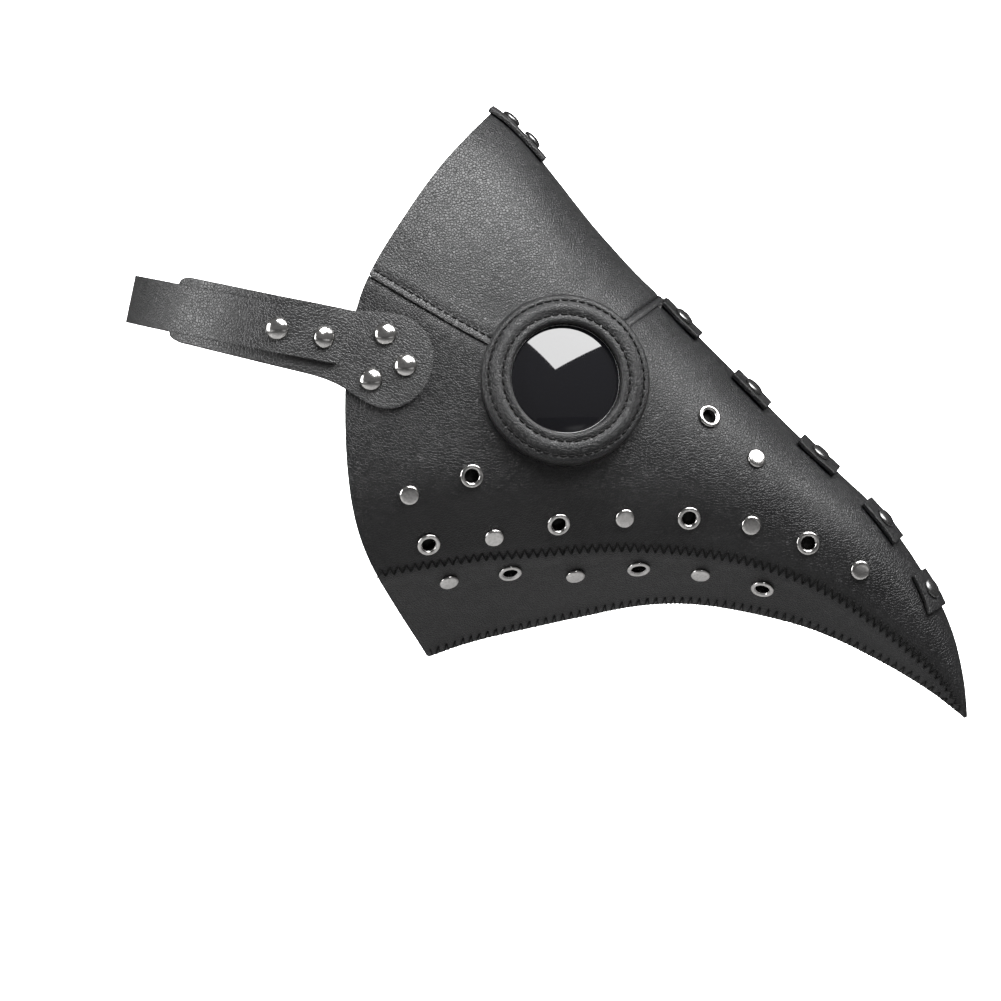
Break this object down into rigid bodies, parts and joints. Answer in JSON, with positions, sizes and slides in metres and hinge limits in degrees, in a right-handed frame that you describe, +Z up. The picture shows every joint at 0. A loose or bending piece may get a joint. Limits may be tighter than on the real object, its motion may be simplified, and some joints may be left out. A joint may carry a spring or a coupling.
{
  "type": "plague doctor mask",
  "caption": "Leather bird-beak mask with round dark eye windows, riveted ridge tabs, zigzag seams and a buckled head strap.",
  "frame": {"origin": "on the mask's middle plane at eye height, in the face opening, where the head holds it", "axes": "+X forward along the beak, +Y to the wearer's left, +Z up, as worn"},
  "size_m": [0.3534, 0.1689, 0.257],
  "materials": {
    "mask_leather": "semi-gloss pebbled black",
    "beak_leather": "semi-gloss pebbled black",
    "strap_leather": "semi-gloss pebbled black",
    "lens": "glossy dark tint",
    "retainer": "matte black",
    "hardware": "nickel plated",
    "buckle": "nickel plated"
  },
  "bodies": {
    "mask": {"back_strap": "strap_leather", "buckle_frame": "buckle", "buckle_strap": "strap_leather", "buckle_strap_rivets": "hardware", "crown_tab": "mask_leather", "crown_tab_rivet_washers": "hardware", "crown_tab_rivets": "hardware", "eye_ring_left": "mask_leather", "eye_ring_right": "mask_leather", "forehead_panel": "mask_leather", "jaw_panel_left": "beak_leather", "jaw_panel_right": "beak_leather", "lens_left": "lens", "lens_retainer_left": "retainer", "lens_retainer_right": "retainer", "lens_right": "lens", "lower_eyelet_washers_left": "hardware", "lower_eyelet_washers_right": "hardware", "lower_eyelets_left": "hardware", "lower_eyelets_right": "hardware", "lower_rivet_washers_left": "hardware", "lower_rivet_washers_right": "hardware", "lower_rivets_left": "hardware", "lower_rivets_right": "hardware", "paddle_rivet_washers_left": "hardware", "paddle_rivet_washers_right": "hardware", "paddle_rivets_left": "hardware", "paddle_rivets_right": "hardware", "ridge_tab_1": "mask_leather", "ridge_tab_2": "mask_leather", "ridge_tab_3": "mask_leather", "ridge_tab_4": "mask_leather", "ridge_tab_5": "mask_leather", "ridge_tab_rivet_washers": "hardware", "ridge_tab_rivets": "hardware", "side_panel_left": "beak_leather", "side_panel_right": "beak_leather", "strap_paddle_left": "strap_leather", "strap_paddle_right": "strap_leather", "strap_rivet_washers": "hardware", "strap_rivets": "hardware", "upper_eyelet_washers_left": "hardware", "upper_eyelet_washers_right": "hardware", "upper_eyelets_left": "hardware", "upper_eyelets_right": "hardware", "upper_rivet_washers_left": "hardware", "upper_rivet_washers_right": "hardware", "upper_rivets_left": "hardware", "upper_rivets_right": "hardware"},
    "prong": {"buckle_prong": "buckle"},
    "keeper": {"strap_keeper": "strap_leather"}
  },
  "joints": [
    {"name": "prong_hinge", "type": "hinge", "parent": "mask", "child": "prong", "pos_m": [-0.08644, 0.07469, 0.02454], "axis": [-0.2045, 0, -0.9789], "range_deg": [0, 6]},
    {"name": "keeper_slide", "type": "slide", "parent": "mask", "child": "keeper", "axis": [0.9737, 0.1023, -0.2034], "range_m": [0, 0.0013]}
  ]
}
